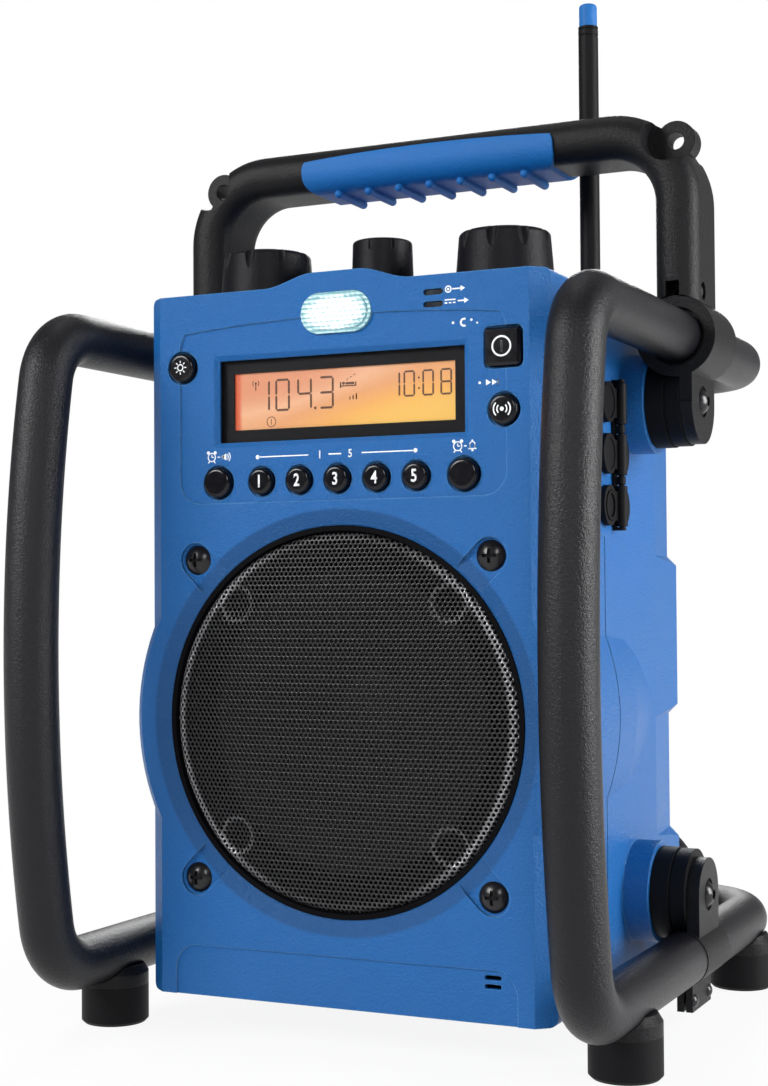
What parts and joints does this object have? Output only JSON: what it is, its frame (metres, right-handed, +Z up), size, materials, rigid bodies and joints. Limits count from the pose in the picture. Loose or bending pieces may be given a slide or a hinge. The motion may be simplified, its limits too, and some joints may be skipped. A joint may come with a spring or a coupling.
{
  "type": "jobsite radio",
  "caption": "Portable work radio: box housing with round speaker and display, rubber mounted in a tubular roll cage with carry handle, knobs, buttons and whip aerial.",
  "frame": {"origin": "on the ground, at the centre of the cage's footprint", "axes": "+X to the right seen from the front, +Y from the front to the back, +Z up"},
  "size_m": [0.2384, 0.265, 0.41],
  "materials": {
    "housing": "spark-eroded grain",
    "seal_rubber": "matte",
    "plated_steel": "zinc plated",
    "black_plastic": "fine grain",
    "cells": "printed foil jacket",
    "clear_window": "clear, glossy",
    "display": "amber back light",
    "lamp_lens": "clear prism",
    "bright_plastic": "metallised",
    "smoked_lens": "smoked",
    "grille_steel": "black powder coat",
    "speaker_cone": "paper-like",
    "magnet": "sintered",
    "black_screws": "glossy black oxide",
    "knob_plastic": "satin",
    "button_plastic": "glossy",
    "circuit_board": "solder mask",
    "soft_rubber": "matte",
    "blue_rubber": "matte",
    "cage_coating": "fine-grained charcoal coat over steel tube",
    "handle_plastic": "satin"
  },
  "bodies": {
    "radio": {"front_shell": "housing", "rear_shell": "housing", "shell_seal": "seal_rubber", "door_hinge_pin": "plated_steel", "battery_cells": "cells", "battery_contacts": "plated_steel", "display_window": "clear_window", "display_frame": "black_plastic", "display_panel": "display", "lamp_lens": "lamp_lens", "lamp_reflector": "bright_plastic", "indicator_lenses": "smoked_lens", "speaker_grille": "grille_steel", "grille_seat": "seal_rubber", "speaker_basket": "grille_steel", "speaker_surround": "seal_rubber", "speaker_cone": "speaker_cone", "speaker_magnet": "magnet", "case_screws": "black_screws", "encoders": "plated_steel", "circuit_boards": "circuit_board", "cover_hinge": "soft_rubber", "side_sockets": "black_plastic", "aerial_base": "black_plastic", "aerial_rod": "soft_rubber", "aerial_tip": "blue_rubber", "left_hoop": "cage_coating", "right_hoop": "cage_coating", "upper_rear_bar": "cage_coating", "lower_rear_bar": "cage_coating", "handle_frame": "handle_plastic", "handle_grip": "blue_rubber", "upper_clamps": "handle_plastic", "lower_clamps": "handle_plastic", "rubber_buffers": "soft_rubber", "cage_screws": "black_screws", "foot_saddles": "handle_plastic", "rubber_feet": "soft_rubber", "cord_posts": "black_plastic"},
    "volume_control": {"volume_knob": "knob_plastic", "volume_shaft": "plated_steel"},
    "centre_control": {"centre_knob": "knob_plastic", "centre_shaft": "plated_steel"},
    "tuning_control": {"tuning_knob": "knob_plastic", "tuning_shaft": "plated_steel"},
    "power_key": {"power_button": "button_plastic"},
    "band_key": {"band_button": "button_plastic"},
    "lamp_key": {"lamp_button": "button_plastic"},
    "left_alarm_key": {"left_alarm_button": "button_plastic"},
    "right_alarm_key": {"right_alarm_button": "button_plastic"},
    "preset_key_1": {"preset_button_1": "button_plastic"},
    "preset_key_2": {"preset_button_2": "button_plastic"},
    "preset_key_3": {"preset_button_3": "button_plastic"},
    "preset_key_4": {"preset_button_4": "button_plastic"},
    "preset_key_5": {"preset_button_5": "button_plastic"},
    "upper_cover": {"socket_cover_1": "soft_rubber"},
    "middle_cover": {"socket_cover_2": "soft_rubber"},
    "lower_cover": {"socket_cover_3": "soft_rubber"},
    "door": {"battery_door": "housing"},
    "thumbscrew": {"door_thumbscrew": "black_plastic"}
  },
  "joints": [
    {"name": "volume_turn", "type": "hinge", "parent": "radio", "child": "volume_control", "pos_m": [-0.0505, -0.0387, 0.27943], "axis": [0, 0, 1], "range_deg": [-300, 0]},
    {"name": "centre_turn", "type": "hinge", "parent": "radio", "child": "centre_control", "pos_m": [0, -0.0387, 0.27943], "axis": [0, 0, 1], "range_deg": [-135, 135]},
    {"name": "tuning_turn", "type": "hinge", "parent": "radio", "child": "tuning_control", "pos_m": [0.0505, -0.0387, 0.27943], "axis": [0, 0, 1], "continuous": true},
    {"name": "power_press", "type": "slide", "parent": "radio", "child": "power_key", "axis": [0, 1, 0], "range_m": [0, 0.0012], "stiffness_N_per_m": 600, "springref_m": -0.0012},
    {"name": "band_press", "type": "slide", "parent": "radio", "child": "band_key", "axis": [0, 1, 0], "range_m": [0, 0.0012], "stiffness_N_per_m": 600, "springref_m": -0.0012},
    {"name": "lamp_press", "type": "slide", "parent": "radio", "child": "lamp_key", "axis": [0, 1, 0], "range_m": [0, 0.0012], "stiffness_N_per_m": 600, "springref_m": -0.0012},
    {"name": "left_alarm_press", "type": "slide", "parent": "radio", "child": "left_alarm_key", "axis": [0, 1, 0], "range_m": [0, 0.0012], "stiffness_N_per_m": 600, "springref_m": -0.0012},
    {"name": "right_alarm_press", "type": "slide", "parent": "radio", "child": "right_alarm_key", "axis": [0, 1, 0], "range_m": [0, 0.0012], "stiffness_N_per_m": 600, "springref_m": -0.0012},
    {"name": "preset_press_1", "type": "slide", "parent": "radio", "child": "preset_key_1", "axis": [0, 1, 0], "range_m": [0, 0.0012], "stiffness_N_per_m": 600, "springref_m": -0.0012},
    {"name": "preset_press_2", "type": "slide", "parent": "radio", "child": "preset_key_2", "axis": [0, 1, 0], "range_m": [0, 0.0012], "stiffness_N_per_m": 600, "springref_m": -0.0012},
    {"name": "preset_press_3", "type": "slide", "parent": "radio", "child": "preset_key_3", "axis": [0, 1, 0], "range_m": [0, 0.0012], "stiffness_N_per_m": 600, "springref_m": -0.0012},
    {"name": "preset_press_4", "type": "slide", "parent": "radio", "child": "preset_key_4", "axis": [0, 1, 0], "range_m": [0, 0.0012], "stiffness_N_per_m": 600, "springref_m": -0.0012},
    {"name": "preset_press_5", "type": "slide", "parent": "radio", "child": "preset_key_5", "axis": [0, 1, 0], "range_m": [0, 0.0012], "stiffness_N_per_m": 600, "springref_m": -0.0012},
    {"name": "upper_cover_hinge", "type": "hinge", "parent": "radio", "child": "upper_cover", "pos_m": [0.0849, -0.007, 0.23753], "axis": [0, 0, 1], "range_deg": [0, 120]},
    {"name": "middle_cover_hinge", "type": "hinge", "parent": "radio", "child": "middle_cover", "pos_m": [0.0849, -0.007, 0.21803], "axis": [0, 0, 1], "range_deg": [0, 120]},
    {"name": "lower_cover_hinge", "type": "hinge", "parent": "radio", "child": "lower_cover", "pos_m": [0.0849, -0.007, 0.19853], "axis": [0, 0, 1], "range_deg": [0, 120]},
    {"name": "door_hinge", "type": "hinge", "parent": "radio", "child": "door", "pos_m": [0, 0.0808, 0.08843], "axis": [-1, 0, 0], "range_deg": [0, 120]},
    {"name": "thumbscrew_turn", "type": "hinge", "parent": "door", "child": "thumbscrew", "pos_m": [0, 0.0796, 0.15683], "axis": [0, -1, 0], "range_deg": [0, 90]}
  ]
}
